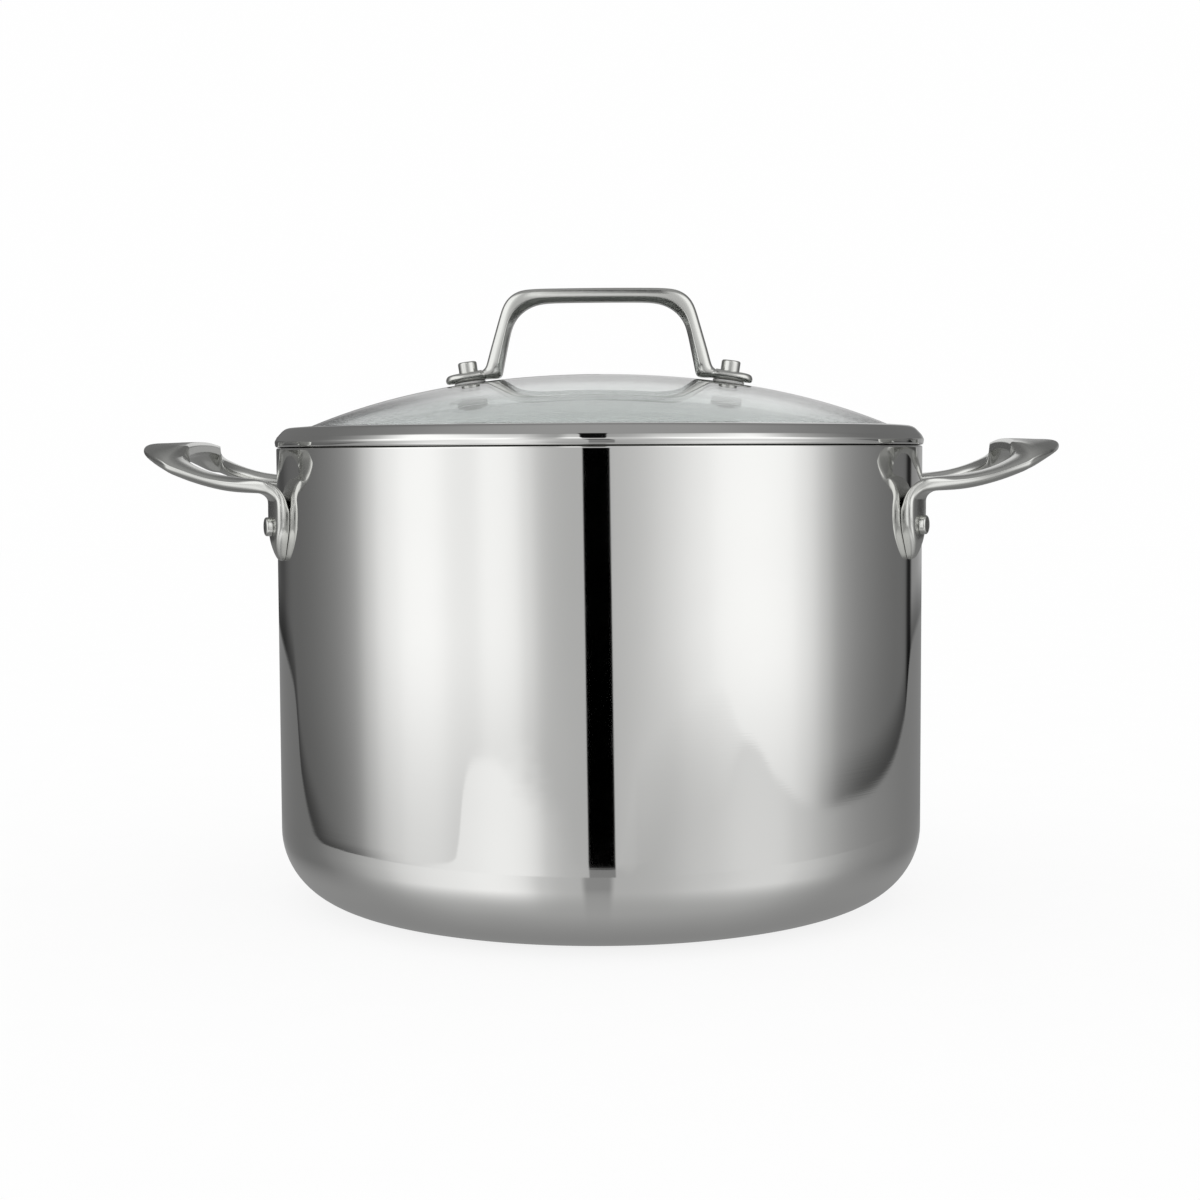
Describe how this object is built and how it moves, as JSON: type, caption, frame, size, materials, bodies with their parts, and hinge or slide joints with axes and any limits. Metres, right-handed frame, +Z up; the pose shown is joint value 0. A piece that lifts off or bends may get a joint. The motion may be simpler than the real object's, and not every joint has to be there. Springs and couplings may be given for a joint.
{
  "type": "stock pot",
  "caption": "Straight-sided polished steel stock pot with riveted loop handles and a lift-off domed glass lid with a steel rim and a bar handle.",
  "frame": {"origin": "centre of the flat base, on the surface that the pot stands on", "axes": "+Z up along the pot's axis, +X out through the right side handle, and the front faces -Y"},
  "size_m": [0.3472, 0.2464, 0.2311],
  "materials": {
    "polished_steel": "mirror-polished stainless steel",
    "satin_steel": "satin cast and turned stainless steel",
    "inner_steel": "circular-brushed stainless steel",
    "core_aluminium": "bare rolled aluminium, seen only at the rim's edge",
    "lid_glass": "clear tempered glass with a faint grey-green tint",
    "gasket_silicone": "matt translucent silicone"
  },
  "bodies": {
    "pot": {"pot_outer_skin": "polished_steel", "pot_core": "core_aluminium", "pot_inner_skin": "inner_steel", "side_handle_right": "satin_steel", "side_handle_left": "satin_steel", "side_rivet_right_front": "satin_steel", "side_rivet_right_back": "satin_steel", "side_rivet_left_front": "satin_steel", "side_rivet_left_back": "satin_steel"},
    "lid": {"lid_glass": "lid_glass", "lid_rim_band": "polished_steel", "lid_handle": "satin_steel", "upper_gasket_right": "gasket_silicone", "lower_gasket_right": "gasket_silicone", "lid_washer_right": "satin_steel", "lid_rivet_right": "satin_steel", "upper_gasket_left": "gasket_silicone", "lower_gasket_left": "gasket_silicone", "lid_washer_left": "satin_steel", "lid_rivet_left": "satin_steel"}
  },
  "joints": [
    {"name": "lid_lift", "type": "slide", "parent": "pot", "child": "lid", "axis": [0, 0, 1], "range_m": [0, 0.15]}
  ]
}
